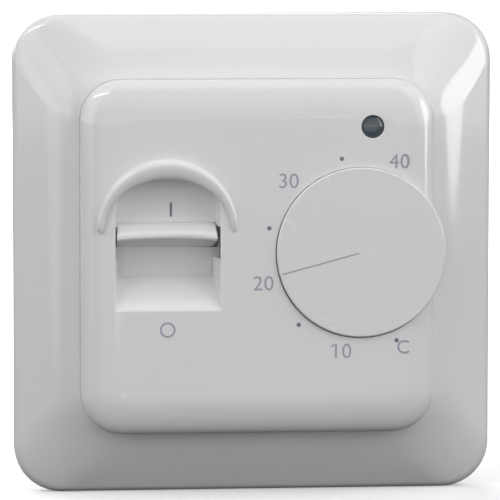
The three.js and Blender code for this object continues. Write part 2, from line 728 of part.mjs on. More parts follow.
// ---- Building it ----
add("front", "decor_plate", plate(), WHITE);
add("front", "front_cover", frontCover(), WHITE);
add("front", "lamp_lens", lampLens(), LENS);
add("dial", "dial_knob", dialKnob(), DIAL_WHITE);
add("dial", "potentiometer_shaft", potShaft(), GREY);
add("switch", "switch_slide", switchSlide(), WHITE);
add("switch", "mains_switch_pin", mainsSwitchPin(), BASE_WHITE);
add("switch", "mains_switch_body", mainsSwitchBody(), BLACK);
add("back", "mounting_base", base(), BASE_WHITE);
add("electronics", "power_board", powerBoard(), BOARD_GREEN);
add("electronics", "control_board", controlBoard(), BOARD_GREEN);
add("electronics", "board_pin_header", boardHeader(), BRASS);
add("electronics", "potentiometer_body", potBody(), STEEL);
add("electronics", "indicator_led", lamp(), LED_EPOXY);
add("electronics", "led_spacer", lampSpacer(), BLACK);
add("electronics", "relay_base", relayBase(), BLACK);
add("electronics", "relay_case", relayCase(), BLUE);
add("electronics", "relay_coil", relayCoil(), COPPER);
add("electronics", "relay_yoke", relayYoke(), STEEL);
add("electronics", "relay_armature", relayArmature(), STEEL);
add("electronics", "relay_fixed_contact", relayContact(), BRASS);
add("electronics", "film_capacitor", filmCapacitor(), YELLOW);
add("electronics", "electrolytic_capacitor_large", electrolytic(1.6, 7.4, 4), BLACK);
add("electronics", "electrolytic_capacitor_small", electrolytic(-2.6, 0, 2.6), BLACK);
add("electronics", "varistor", varistor(), BLUE);
add("electronics", "power_resistor", powerResistor(), GREY);
add("electronics", "comparator_chip", comparatorChip(), BLACK);
add("terminals", "terminal_block", terminalBlock(), GREY);
for (let i = 0; i < POLES; i++) {
  const x = poleX(i);
  const screw = { head: 1.9, shank: 1.15, outside: 19.6, seat: 17.8, tip: 14.6 };
  add("terminals", `terminal_clamp_${i + 1}`, terminalClamp(x), BRASS);
  add("terminals", `terminal_screw_${i + 1}`, slottedScrew(x, CLAMP_Z, screw), STEEL);
}
const coverScrewSeat = POCKET.floor - 0.1;
const coverScrew = { head: 2.4, shank: 1.3, outside: coverScrewSeat - 1.5, seat: coverScrewSeat, tip: -2 };
add("fasteners", "cover_screw", slottedScrew(COVER_SCREW.x, COVER_SCREW.z, coverScrew), STEEL);
BOARD_SCREWS.forEach(({ x, z }, i) => {
  const seat = POWER_BOARD_FRONT - 0.1;
  const screw = { head: 2.2, shank: 1.1, outside: seat - 1.4, seat, tip: 15.5 };
  add("fasteners", `power_board_screw_${i + 1}`, slottedScrew(x, z, screw), STEEL);
});
CONTROL_SCREWS.forEach(({ x, z }, i) => {
  const seat = CONTROL_BOARD_BACK - BOARD - 0.1;
  const screw = { head: 1.7, shank: 0.8, outside: seat - 1.1, seat, tip: -0.5 };
  add("fasteners", `control_board_screw_${i + 1}`, slottedScrew(x, z, screw), STEEL);
});

export default thermostat;
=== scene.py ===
"""The looks of a flush-mounted wall thermostat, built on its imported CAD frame.

Lengths are millimetres until a mesh is made, which turns them into metres.
+Z is up and -Y points into the room.
"""

import json
import math

import bmesh
import bpy
from mathutils import Matrix, Vector


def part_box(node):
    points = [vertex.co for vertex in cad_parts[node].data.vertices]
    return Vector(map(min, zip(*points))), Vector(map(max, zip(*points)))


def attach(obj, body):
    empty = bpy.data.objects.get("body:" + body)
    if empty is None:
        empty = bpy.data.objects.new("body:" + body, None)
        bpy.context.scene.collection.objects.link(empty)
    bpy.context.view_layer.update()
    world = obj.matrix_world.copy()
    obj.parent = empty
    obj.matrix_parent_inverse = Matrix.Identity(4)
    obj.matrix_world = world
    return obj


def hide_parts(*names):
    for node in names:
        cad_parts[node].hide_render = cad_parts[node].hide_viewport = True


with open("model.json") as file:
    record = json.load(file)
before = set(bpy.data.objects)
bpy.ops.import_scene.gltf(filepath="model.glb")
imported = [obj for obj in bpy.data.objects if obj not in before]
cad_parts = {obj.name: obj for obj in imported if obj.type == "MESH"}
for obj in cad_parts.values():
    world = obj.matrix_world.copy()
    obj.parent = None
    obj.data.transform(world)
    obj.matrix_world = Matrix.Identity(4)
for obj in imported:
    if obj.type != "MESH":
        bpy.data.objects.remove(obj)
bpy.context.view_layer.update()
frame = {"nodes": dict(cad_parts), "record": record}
NODES = frame["nodes"]
MM = 0.001  # metres


def box_mm(node):
    """A CAD node's low and high corner, in millimetres."""
    low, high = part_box(node)
    return low / MM, high / MM


# ---- Places and sizes taken from the frame ----
PLATE = box_mm("decor_plate")
PLATE_HALF = PLATE[1].x
PLATE_PEAK = PLATE[0].y
COVER = box_mm("front_cover")
COVER_HALF = COVER[1].x
DIAL = box_mm("dial_knob")
DIAL_X = (DIAL[0].x + DIAL[1].x) / 2
DIAL_Z = (DIAL[0].z + DIAL[1].z) / 2
DIAL_RADIUS = (DIAL[1].x - DIAL[0].x) / 2
DIAL_FRONT = DIAL[0].y
DIAL_BOSS = DIAL[1].y
FACE = DIAL_FRONT + 0.6  # the cover's flat face
LAMP = box_mm("indicator_led")
LAMP_X = (LAMP[0].x + LAMP[1].x) / 2
LAMP_Z = (LAMP[0].z + LAMP[1].z) / 2
SLIDE = box_mm("switch_slide")
SLIDE_X = (SLIDE[0].x + SLIDE[1].x) / 2
SLIDE_HALF = (SLIDE[1].x - SLIDE[0].x) / 2
LENS = box_mm("lamp_lens")
PIN = box_mm("mains_switch_pin")
COVER_SCREW = box_mm("cover_screw")
COVER_SCREW_X = (COVER_SCREW[0].x + COVER_SCREW[1].x) / 2
COVER_SCREW_Z = (COVER_SCREW[0].z + COVER_SCREW[1].z) / 2
FLOOR_Z = PLATE[0].z

# ---- Sizes of the fine shapes ----
PLATE_CORNER = 8
OPENING = COVER_HALF - 0.01  # the plate's inner edge just meets the cover
CLEAR = 0.3  # between pieces that touch on the real object
SKIRT = -4.3  # the rear edge of the cover's side walls
COVER_CORNER = 7
PILLOW = {"width": 7, "depth": 2.6}  # the face rolls off over this band
WALL = 1.8
HOOK = {
    "x": 12,  # left and right of the middle
    "width": 6,
    "thick": 1.2,
    "outer": 26.2,  # height of its outer face
    "back": -0.4,
    "nose": 0.9,  # how far its nose stands out
}
# The dial's pocket. It is a little off the dial's axis, which widens the gap on the left and below.
POCKET = {
    "x": DIAL_X - 0.04,
    "z": DIAL_Z - 0.06,
    "radius": DIAL_RADIUS + 0.1,
    "floor": DIAL_FRONT + 4,
    "wall": 1.2,
}
BOSS_HOLE = 5.7
SCREW_HOLE = 1.7
LAMP_HOLE = 1.95
LAMP_COLLAR = 0.8  # how far the window's collar stands out round it
RECESS = {
    "x": SLIDE_X + 0.1,
    "half": 8.9,  # at the face
    "draft": 0.9,  # how far each side comes in towards the back
    "arch_z": 1.6,
    "arch_radius": 11.9,
    "floor": -10.2,
    "back": -8.8,
}
RAMP = (-8.8, -3.5)  # heights of the sloping sill's outer and inner edge
SLOT_TOP = 5.83
HOOD = {
    "z": 4.9,
    "radius": 11.9,
    "middle": 3.3,  # width of the crescent at the top
    "tip": 1.3,  # and at its ends
    "rise": 1.3,  # height of the crescent at the top
    "tip_rise": 0.4,  # and at its ends
    "overhang": 3,  # degrees that each end reaches below the arch's centre
    "blunt": 8,  # degrees over which each end is rounded off
}
PANEL = {"front": -8.5, "back": -7.3}  # the slide's flat panel
LIP = {
    "x": SLIDE_X - 0.04,
    "half": 8.5,
    "taper": 0.25,  # how far each side comes in towards the root
    "top": 5.8,
    "bottom": 1.5,
    "front": -13.9,
    "bow": 0.35,  # how far the middle stands above the ends
}
FORK = {
    "half": 1.6,  # across
    "reach": 1.4,  # from its middle up or down to a finger
    "finger": 1.5,  # a finger's thickness
}
MOUTH = 0.28  # edge radius where the recess meets the face
SMALL_MOUTH = 0.12  # and where a round hole does

# ---- The scale ----
# Where each temperature is marked, in degrees anticlockwise from +X.
SCALE = {5: 292, 10: 258.6, 15: 229, 20: 197, 25: 165, 30: 135.4, 35: 102, 40: 67.3}
# How far the numbers and the dots are from the dial's axis.
LABEL_RADIUS = {10: 17.05, 20: 17.4, 30: 17.4, 40: 16.75}
DOT_RADIUS = 16.2
DOT_SIZE = 0.37
DIGIT_HEIGHT = 2.48
# The long flag of the 1, from the middle of the 10.
ONE_FLAG = [(-1.15, 1.24), (-1.15, 0.93), (-1.72, 0.6), (-1.72, 0.85)]
UNIT_HEIGHT = 2.3
UNIT_PLACE = (7.2, -16.1)  # from the dial's axis
POINTER = {"angle": 195, "inner": 0.45, "outer": 13.9, "half": 0.12}
ON_MARK = {"x": SLIDE_X + 0.85, "z": 8.05, "half_width": 0.2, "half_height": 1.2}
OFF_MARK = {"x": SLIDE_X, "z": -12.05, "outer": 1.32, "inner": 1.0}
INK_DEPTH = 0.02

# ---- Camera ----
AZIMUTH, ELEVATION, ROLL = -5.68, 5.15, 0.05
DISTANCE = 650
AIM = Vector((-0.93, -7, 0.76))
FOCAL = 274.6


def make_camera():
    """The camera looks at AIM from a little to the left and a little above."""
    azimuth = math.radians(AZIMUTH)
    elevation = math.radians(ELEVATION)
    away = Vector(
        (
            math.sin(azimuth) * math.cos(elevation),
            -math.cos(azimuth) * math.cos(elevation),
            math.sin(elevation),
        )
    )
    data = bpy.data.cameras.new("camera")
    data.sensor_width = 36
    data.lens = FOCAL
    data.clip_start = 0.01
    data.clip_end = 100
    camera = bpy.data.objects.new("camera", data)
    bpy.context.scene.collection.objects.link(camera)
    turn = (-away).to_track_quat("-Z", "Y").to_matrix().to_4x4()
    stand = Matrix.Translation((AIM + away * DISTANCE) * MM)
    camera.matrix_world = stand @ turn @ Matrix.Rotation(math.radians(ROLL), 4, "Z")
    bpy.context.scene.camera = camera


make_camera()


# ---- Mesh tools ----
def make_object(name, points, faces):
    """A mesh object from points in millimetres, with its faces turned outwards."""
    mesh = bpy.data.meshes.new(name)
    mesh.from_pydata([Vector(p) * MM for p in points], [], faces)
    tidy = bmesh.new()
    tidy.from_mesh(mesh)
    bmesh.ops.remove_doubles(tidy, verts=tidy.verts, dist=1e-8)
    bmesh.ops.recalc_face_normals(tidy, faces=tidy.faces)
    tidy.to_mesh(mesh)
    tidy.free()
    thing = bpy.data.objects.new(name, mesh)
    bpy.context.scene.collection.objects.link(thing)
    return thing


def skin(name, rings, closed_row=False):
    """A closed mesh through rings of points. A closed row runs back to its first ring.
    An open row gets flat ends."""
    count = len(rings[0])
    points = [p for ring in rings for p in ring]
    faces = []
    for i in range(len(rings) - (0 if closed_row else 1)):
        here = i * count
        there = ((i + 1) % len(rings)) * count
        for j in range(count):
            k = (j + 1) % count
            faces.append((here + j, here + k, there + k, there + j))
    if not closed_row:
        faces.append(tuple(range(count)))
        faces.append(tuple(range((len(rings) - 1) * count, len(rings) * count)))
    return make_object(name, points, faces)


def arc(cx, cy, radius, start, end, steps):
    """Points along an arc, from one angle to another in degrees."""
    angles = [math.radians(start + (end - start) * i / steps) for i in range(steps + 1)]
    return [(cx + radius * math.cos(a), cy + radius * math.sin(a)) for a in angles]


def rounded_square(half, corner, steps=18):
    """The outline of a square with round corners, as (x, z)."""
    middle = half - corner
    return [
        *arc(middle, middle, corner, 0, 90, steps),
        *arc(-middle, middle, corner, 90, 180, steps),
        *arc(-middle, -middle, corner, 180, 270, steps),
        *arc(middle, -middle, corner, 270, 360, steps),
    ]


def at_depth(outline, y):
    return [(x, y, z) for x, z in outline]


def slab(name, outline, y0, y1):
    return skin(name, [at_depth(outline, y0), at_depth(outline, y1)])


def block(name, x0, x1, y0, y1, z0, z1):
    return slab(name, [(x0, z0), (x1, z0), (x1, z1), (x0, z1)], y0, y1)


def turned(name, x, z, profile, sides=128):
    """A body turned about an axis along Y, from (radius, y) pairs. Its two ends are flat."""
    angles = [2 * math.pi * i / sides for i in range(sides)]
    rings = [[(x + r * math.cos(a), y, z + r * math.sin(a)) for a in angles] for r, y in profile]
    return skin(name, rings)


def rod(name, x, z, radius, y0, y1, sides=96):
    return turned(name, x, z, [(radius, y0), (radius, y1)], sides)


def combine(body, tools, operation):
    """Cuts or joins the tools, one after the other, and throws them away."""
    for tool in tools:
        step = body.modifiers.new(operation, "BOOLEAN")
        step.object = tool
        step.operation = operation
        step.solver = "MANIFOLD"
        bake(body)
        bpy.data.objects.remove(tool)
    return body


def bake(body):
    """Applies the modifiers to the mesh."""
    graph = bpy.context.evaluated_depsgraph_get()
    mesh = bpy.data.meshes.new_from_object(body.evaluated_get(graph))
    body.modifiers.clear()
    body.data = mesh


def smooth(body, angle=32):
    """Whole flat faces, smooth shading with sharp edges, and normals that keep flat faces flat."""
    flat = bmesh.new()
    flat.from_mesh(body.data)
    bmesh.ops.dissolve_limit(flat, angle_limit=math.radians(0.3), verts=flat.verts, edges=flat.edges)
    flat.to_mesh(body.data)
    flat.free()
    body.data.polygons.foreach_set("use_smooth", [True] * len(body.data.polygons))
    body.data.set_sharp_from_angle(angle=math.radians(angle))
    weights = body.modifiers.new("flat faces", "WEIGHTED_NORMAL")
    weights.keep_sharp = True
    weights.weight = 60


def place(piece, body, material, replaced=None):
    """Gives a piece its material, the body it rides on and the CAD node it replaces."""
    piece.data.materials.clear()
    piece.data.materials.append(material)
    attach(piece, body)
    if replaced:
        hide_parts(replaced)


# ---- Materials ----
class Shader:
    """A small helper round one material's node tree, with a Principled shader ready in it."""

    def __init__(self, name, color, roughness, metallic=0.0):
        self.material = bpy.data.materials.new(name)
        self.material.use_nodes = True
        self.material.diffuse_color = (*color, 1)
        self.tree = self.material.node_tree
        self.shader = self.tree.nodes["Principled BSDF"]
        self.shader.inputs["Metallic"].default_value = metallic
        self.shader.inputs["Roughness"].default_value = roughness
        self.shader.inputs["Base Color"].default_value = (*color, 1)
        self.where = self.tree.nodes.new("ShaderNodeTexCoord").outputs["Object"]

    def link(self, source, target):
        self.tree.links.new(source, target)

    def noise(self, millimetres, detail=3, stretch=None):
        """Noise whose features are about this many millimetres across, drawn out along an axis if asked."""
        noise = self.tree.nodes.new("ShaderNodeTexNoise")
        noise.inputs["Scale"].default_value = 1000 / millimetres
        noise.inputs["Detail"].default_value = detail
        where = self.where
        if stretch:
            mapping = self.tree.nodes.new("ShaderNodeMapping")
            mapping.inputs["Scale"].default_value = stretch
            self.link(self.where, mapping.inputs["Vector"])
            where = mapping.outputs["Vector"]
        self.link(where, noise.inputs["Vector"])
        return noise.outputs["Fac"]

    def spread(self, value, low, high, start=0.2, end=0.8):
        """The value, from start to end, carried over to low to high."""
        node = self.tree.nodes.new("ShaderNodeMapRange")
        for name, number in (("From Min", start), ("From Max", end), ("To Min", low), ("To Max", high)):
            node.inputs[name].default_value = number
        self.link(value, node.inputs["Value"])
        return node.outputs["Result"]

    def mix(self, factor, first, second):
        node = self.tree.nodes.new("ShaderNodeMix")
        node.data_type = "RGBA"
        self.link(factor, node.inputs["Factor"])
        # Of the node's sockets, 6 and 7 take colours, and 2 gives one.
        for color, socket in ((first, node.inputs[6]), (second, node.inputs[7])):
            if isinstance(color, tuple):
                socket.default_value = (*color, 1)
            else:
                self.link(color, socket)
        return node.outputs[2]

    def edges(self):
        """1 on worn convex edges and 0 elsewhere."""
        geometry = self.tree.nodes.new("ShaderNodeNewGeometry")
        return self.spread(geometry.outputs["Pointiness"], 0, 1, 0.56, 0.66)

    def bump(self, height, strength, distance):
        node = self.tree.nodes.new("ShaderNodeBump")
        node.inputs["Strength"].default_value = strength
        node.inputs["Distance"].default_value = distance * MM
        self.link(height, node.inputs["Height"])
        self.link(node.outputs["Normal"], self.shader.inputs["Normal"])

    def roughness(self, value, low, high):
        self.link(self.spread(value, low, high), self.shader.inputs["Roughness"])

    def paint(self, color):
        self.link(color, self.shader.inputs["Base Color"])


def shade(color, factor):
    return tuple(min(1.0, c * factor) for c in color)


def moulded(name, color, roughness=0.2, grain=1.6, depth=0.012, aged=(0.985, 0.98, 0.965)):
    """Injection-moulded plastic: faint cloudy tone, a slight orange peel and rubbed edges.
    grain and depth are the orange peel's, and aged tints the clouds."""
    s = Shader(name, color, roughness)
    yellowed = tuple(c * a for c, a in zip(color, aged))
    cloudy = s.mix(s.spread(s.noise(22, 2), 0, 1), color, yellowed)
    dusty = s.mix(s.spread(s.noise(5, 3), 0, 0.6), cloudy, shade(color, 0.985))
    s.paint(s.mix(s.edges(), dusty, shade(color, 1.04)))
    s.roughness(s.noise(7, 3), roughness * 0.85, roughness * 1.25)
    s.bump(s.noise(grain, 2), 0.35, depth)
    return s.material


def metal(name, color, roughness=0.3, stretch=(1, 1, 12)):
    """Plated metal with fine drawn lines and duller patches."""
    s = Shader(name, color, roughness, 1.0)
    tarnish = s.spread(s.noise(2.2, 5), 0, 0.8, 0.45, 0.75)
    tone = s.mix(tarnish, color, shade(color, 0.62))
    s.paint(s.mix(s.edges(), tone, shade(color, 1.2)))
    s.roughness(s.noise(1.1, 6), roughness * 0.7, roughness * 1.5)
    s.bump(s.noise(0.5, 3, stretch), 0.3, 0.01)
    return s.material


def board_material(name):
    """A circuit board: green mask with raised tracks under it."""
    s = Shader(name, (0.012, 0.1, 0.035), 0.3)
    upright = s.tree.nodes.new("ShaderNodeMapping")
    upright.inputs["Rotation"].default_value = (math.radians(90), 0, 0)
    s.link(s.where, upright.inputs["Vector"])
    track_length = 5.5
    bricks = s.tree.nodes.new("ShaderNodeTexBrick")
    bricks.inputs["Scale"].default_value = 1000 / track_length
    bricks.inputs["Mortar Size"].default_value = 0.09
    bricks.inputs["Brick Width"].default_value = 0.9
    bricks.inputs["Row Height"].default_value = 0.42
    s.link(upright.outputs["Vector"], bricks.inputs["Vector"])
    tracks = s.mix(bricks.outputs["Fac"], (0.02, 0.16, 0.055), (0.008, 0.07, 0.025))
    s.paint(s.mix(s.spread(s.noise(0.7, 2), 0, 0.5), tracks, (0.015, 0.12, 0.05)))
    s.roughness(s.noise(0.9, 4), 0.22, 0.45)
    s.bump(bricks.outputs["Fac"], 0.4, 0.03)
    return s.material


def wound(name, color):
    """Enamelled wire wound round an axis along Y, with painted shade in the grooves between its turns."""
    s = Shader(name, color, 0.3, 0.6)
    pitch = 0.32
    wave = s.tree.nodes.new("ShaderNodeTexWave")
    wave.bands_direction = "Y"
    wave.inputs["Scale"].default_value = 1000 / pitch / (2 * math.pi)
    wave.inputs["Distortion"].default_value = 0.4
    s.link(s.where, wave.inputs["Vector"])
    # The wave's troughs are painted shade: darker where the turns meet.
    s.paint(s.mix(wave.outputs["Fac"], shade(color, 0.45), color))
    s.bump(wave.outputs["Fac"], 0.7, 0.06)
    return s.material


def smoked(name):
    """The lamp's smoked window: dark clear plastic with a faint haze."""
    s = Shader(name, (0.06, 0.075, 0.085), 0.12)
    s.paint(s.mix(s.spread(s.noise(1.4, 3), 0, 1), (0.085, 0.108, 0.125), (0.06, 0.078, 0.09)))
    s.roughness(s.noise(0.8, 3), 0.06, 0.2)
    s.shader.inputs["Coat Weight"].default_value = 0.6
    s.shader.inputs["Coat Roughness"].default_value = 0.05
    s.bump(s.noise(0.9, 2), 0.2, 0.01)
    return s.material


def printed(name, color):
    """Pad-printed ink, a little thinner in places."""
    s = Shader(name, color, 0.45)
    s.paint(s.mix(s.spread(s.noise(0.35, 4), 0, 1), color, shade(color, 1.3)))
    s.roughness(s.noise(0.5, 3), 0.35, 0.6)
    s.bump(s.noise(0.2, 2), 0.3, 0.004)
    return s.material


def clear_lamp(name, color):
    """The tinted epoxy of an unlit lamp, which lets some light through."""
    s = Shader(name, color, 0.15)
    s.shader.inputs["Transmission Weight"].default_value = 0.35
    s.paint(s.mix(s.spread(s.noise(1.2, 3), 0, 1), color, shade(color, 0.8)))
    s.roughness(s.noise(0.7, 3), 0.1, 0.25)
    s.bump(s.noise(0.5, 2), 0.2, 0.01)
    return s.material


# Each of the record's slots, with its material.
FINISHES = {
    "shell_white": moulded("shell white", (0.80, 0.795, 0.81), 0.07),
    "dial_white": moulded("dial white", (0.785, 0.785, 0.79), 0.24, 1.2),
    "base_white": moulded("base white", (0.70, 0.70, 0.66), 0.42, 0.6, 0.02),
    "lens": smoked("smoked lens"),
    "led_epoxy": clear_lamp("lamp epoxy", (0.42, 0.5, 0.38)),
    "board_green": board_material("circuit board"),
    "black_plastic": moulded("black plastic", (0.018, 0.018, 0.02), 0.4, 0.5, 0.02, (1.5, 1.5, 1.5)),
    "capacitor_sleeve": moulded("capacitor sleeve", (0.03, 0.035, 0.09), 0.3, 3, 0.02, (1.3, 1.3, 1.2)),
    "relay_blue": moulded("relay blue", (0.03, 0.1, 0.3), 0.3, 1.2, 0.015),
    "film_yellow": moulded("film capacitor yellow", (0.62, 0.43, 0.06), 0.3, 1.2, 0.015),
    "resistor_grey": moulded("resistor cement", (0.42, 0.42, 0.4), 0.75, 0.3, 0.05),
    "terminal_grey": moulded("terminal grey", (0.33, 0.35, 0.36), 0.4, 0.6, 0.02),
    "shaft_grey": moulded("shaft grey", (0.3, 0.3, 0.31), 0.35, 0.5, 0.015),
    "steel": metal("plated steel", (0.56, 0.56, 0.57), 0.3),
    "brass": metal("brass", (0.66, 0.49, 0.2), 0.28),
    "coil_copper": wound("coil wire", (0.56, 0.24, 0.1)),
}
INK = printed("grey ink", (0.33, 0.315, 0.385))
DARK_INK = printed("dark grey ink", (0.17, 0.155, 0.2))
DARK_MARKS = ("on_mark", "scale_dot_5", "scale_dot_15", "scale_dot_25", "scale_dot_35")


# ---- Pieces ----
def bezier(start, middle, end, steps):
    """Points on a quadratic curve, with both ends."""
    return [
        tuple((1 - t) ** 2 * a + 2 * t * (1 - t) * b + t * t * c for a, b, c in zip(start, middle, end))
        for t in (i / steps for i in range(steps + 1))
    ]


def square_rings(stations, corner, steps=18):
    """Square rings at these (half width, y) stations. corner gives a ring's corner from its half width."""
    return [at_depth(rounded_square(half, corner(half), steps), y) for half, y in stations]


def make_plate():
    """The domed plate: a rounded outer edge, a slope that flattens towards the cover, and the ledge."""
    edge, lip, swell = 2, 0.12, 2.6
    side_front = -1.9
    shoulder = arc(PLATE_HALF - edge, side_front, edge, 0, -58, 10)
    crest = arc(OPENING + lip, PLATE_PEAK + lip, lip, -72, -180, 8)
    slope = bezier(shoulder[-1], (34.8, -6.9), crest[0], 20)[1:-1]
    outside = [(PLATE_HALF, 0), *shoulder, *slope, *crest]
    # The ledge that the cover presses on, and the hollow under the slope.
    ledge = OPENING - 1.9
    inside = [
        (OPENING, SKIRT + CLEAR),
        (ledge, SKIRT + CLEAR),
        (ledge, -2),
        (32.2, -2),
        (32.2, -5.2),
        (38.2, -2.4),
        (39.2, 0),
    ]

    def corner(half):
        """The corners match the cover's at the crest and are roundest half way down the slope."""
        part = (half - OPENING) / (PLATE_HALF - OPENING)
        middle = max(0, math.sin(math.pi * part))
        return COVER_CORNER + (PLATE_CORNER - COVER_CORNER) * part + swell * middle

    plate = skin("decor_plate", square_rings([*outside, *inside], corner), True)
    # Room for the heads of the two screws that hold the base to the wall box.
    start, width = 27, 7.6
    notches = [block("notch", x, x + width, -4.6, 1, -5.5, 5.5) for x in (start, -start - width)]
    return combine(plate, notches, "DIFFERENCE")


def pillow(steps):
    """The roll-off of the cover's edge, from its side to its face, as (half width, y)."""
    turns = [math.radians(90 * (1 - i / steps)) for i in range(steps + 1)]
    return [
        (COVER_HALF - PILLOW["width"] * (1 - math.sin(a)), FACE + PILLOW["depth"] * (1 - math.cos(a)))
        for a in turns
    ]


def recess_outline(half, bottom, radius):
    """Straight sides under an arch, as the switch's recess has."""
    reach = math.degrees(math.acos(half / radius))
    top = arc(RECESS["x"], RECESS["arch_z"], radius, reach, 180 - reach, 40)
    return [(RECESS["x"] - half, bottom), (RECESS["x"] + half, bottom), *top]


def recess_slope(y):
    """How far the recess's sides and sill have come in at this depth, as (half width, sill height)."""
    part = (y - FACE) / (RECESS["back"] - FACE)
    return RECESS["half"] - RECESS["draft"] * part, RAMP[0] + (RAMP[1] - RAMP[0]) * part


def mouth_curve(radius=MOUTH, steps=6):
    """The rounded edge of an opening in the face, as (how much wider, y)."""
    return arc(radius, FACE + radius, radius, -90, -180, steps)


def recess_cutter():
    """The recess, with a rounded mouth. Its arch is cut a little wide, and the eyebrow fills the rest."""
    slack = 0.4
    radius = RECESS["arch_radius"] + slack
    rings = [at_depth(recess_outline(RECESS["half"] + MOUTH, RAMP[0] - MOUTH, radius + MOUTH), FACE - 3)]
    for wider, y in [*mouth_curve(), (0, RECESS["floor"])]:
        half, bottom = recess_slope(y)
        rings.append(at_depth(recess_outline(half + wider, bottom - wider, radius + wider), y))
    return skin("recess", rings)


def slot_cutter():
    """The opening in the recess's floor that the slide shows through."""
    rings = []
    for depth in (RECESS["floor"] - 0.2, RECESS["back"], RECESS["back"] + 1):
        half, bottom = recess_slope(min(depth, RECESS["back"]))
        corners = [(-half, bottom), (half, bottom), (half, SLOT_TOP), (-half, SLOT_TOP)]
        rings.append([(RECESS["x"] + x, depth, z) for x, z in corners])
    return skin("slot", rings)


def lip_clearance(side, reach):
    """A notch in the recess's side wall, beside the lip. It reaches this far from the slide's middle.
    side is -1 or 1."""
    start, bottom, top = 7.9, -0.1, 5.3
    x0, x1 = sorted((SLIDE_X + side * start, SLIDE_X + side * reach))
    return block("clearance", x0, x1, FACE + CLEAR, RECESS["back"], bottom, top)


def round_cutter(name, x, z, radius, y1):
    """A hole from in front of the face back to y1, with a rounded edge."""
    mouth = [(radius + wider, y) for wider, y in mouth_curve(SMALL_MOUTH)]
    return turned(name, x, z, [(radius + SMALL_MOUTH, FACE - 3), *mouth, (radius, y1)], 192)


# The eyebrow's section, as (how far in from its outer edge, how high), both as shares.
HOOD_SECTION = [
    (0, 0), (0.04, 0.38), (0.12, 0.72), (0.22, 0.93), (0.33, 1), (0.45, 0.99), (0.6, 0.93),
    (0.75, 0.84), (0.88, 0.72), (0.96, 0.58), (1, 0.35),
]


def hood_ring(angle):
    """The eyebrow's section at this many degrees round it."""
    turn = math.radians(angle)
    outer = Vector((math.cos(turn), math.sin(turn))) * HOOD["radius"]
    inner = Vector(
        (
            math.cos(turn) * (HOOD["radius"] - HOOD["tip"]),
            math.sin(turn) * (HOOD["radius"] - HOOD["middle"]),
        )
    )
    overhang = HOOD["overhang"]
    from_end = min(angle + overhang, 180 + overhang - angle) / HOOD["blunt"]
    blunt = math.sqrt(1 - (1 - min(1, max(0.02, from_end))) ** 2)
    low, high = HOOD["tip_rise"], HOOD["rise"]
    rise = (low + (high - low) * max(0, math.sin(turn))) * blunt

    def point(part, y):
        spot = outer.lerp(inner, 0.5 + (part - 0.5) * blunt)
        return SLIDE_X + spot.x, y, HOOD["z"] + spot.y

    ring = [point(part, FACE + 0.02 - rise * height) for part, height in HOOD_SECTION]
    return [*ring, point(1, RECESS["floor"] + 0.2), point(0, FACE + 1)]


def make_hood():
    """The eyebrow over the switch: a crescent that is widest and highest in the middle, with blunt ends."""
    steps = 96
    start = -HOOD["overhang"]
    sweep = 180 + 2 * HOOD["overhang"]
    return skin("hood", [hood_ring(start + sweep * i / steps) for i in range(steps + 1)])


def slide_rail(side):
    """A rail behind the recess, with a lip under the edge of the slide's panel. side is -1 or 1."""
    half_height, outer = 8.4, SLIDE_HALF + 1.4

    def span(inner, y0, y1):
        x0, x1 = sorted((SLIDE_X + side * inner, SLIDE_X + side * outer))
        return block("rail", x0, x1, y0, y1, -half_height, half_height)

    back = PANEL["back"]
    return [
        span(SLIDE_HALF + CLEAR, RECESS["back"] - 1, back + 1.4),
        span(SLIDE_HALF - 0.8, back + CLEAR, back + 1.4),
    ]


def hook(x, side):
    """A snap hook that reaches back from the face into the base's rim.
    side is 1 at the top and -1 at the bottom."""
    outer, back, nose = HOOK["outer"], HOOK["back"], HOOK["nose"]
    inner = outer - HOOK["thick"]
    root = FACE + WALL - 0.3
    profile = [
        (root, inner),
        (back - 2.2, inner),
        (back - 2.2, outer),
        (back - 3, outer + nose),
        (back - 3.8, outer + nose),
        (back - 3.8, outer),
        (root, outer),
    ]
    half = HOOK["width"] / 2
    return skin("hook", [[(x + end, y, side * z) for y, z in profile] for end in (-half, half)])


def cover_additions(outside):
    """What stands behind the cover's face. The dial's cup is trimmed to the cover's outside."""
    cup = rod("cup", DIAL_X, DIAL_Z, POCKET["radius"] + POCKET["wall"], FACE + 1, POCKET["floor"] + 1.4)
    limit = skin("limit", square_rings(outside, lambda half: COVER_CORNER - 1, 20))
    combine(cup, [limit], "INTERSECT")
    surround = [
        (x, z + 1.6 if z > 5 else z)
        for x, z in recess_outline(RECESS["half"] + 1.9, RAMP[0] - 2.2, RECESS["arch_radius"])
    ]
    return [
        cup,
        rod("sleeve", LAMP_X, LAMP_Z, 4, FACE + 1, FACE + 3.4),
        slab("surround", surround, FACE + 1, RECESS["back"]),
        *[rail for side in (-1, 1) for rail in slide_rail(side)],
        *[hook(x, side) for side in (-1, 1) for x in (-HOOK["x"], HOOK["x"])],
    ]


def cover_cutters():
    """The openings in the cover."""
    floor = POCKET["floor"]
    seat = LAMP_HOLE + LAMP_COLLAR + 0.05
    return [
        recess_cutter(),
        slot_cutter(),
        lip_clearance(-1, 9.9),
        lip_clearance(1, 11),
        round_cutter("pocket", POCKET["x"], POCKET["z"], POCKET["radius"], floor),
        rod("boss hole", DIAL_X, DIAL_Z, BOSS_HOLE, floor - 1, floor + 3),
        rod("screw hole", COVER_SCREW_X, COVER_SCREW_Z, SCREW_HOLE, floor - 1, floor + 3),
        round_cutter("lamp hole", LAMP_X, LAMP_Z, LAMP_HOLE, FACE + 2.1),
        rod("lamp seat", LAMP_X, LAMP_Z, seat, FACE + 2, FACE + 4.5),
    ]


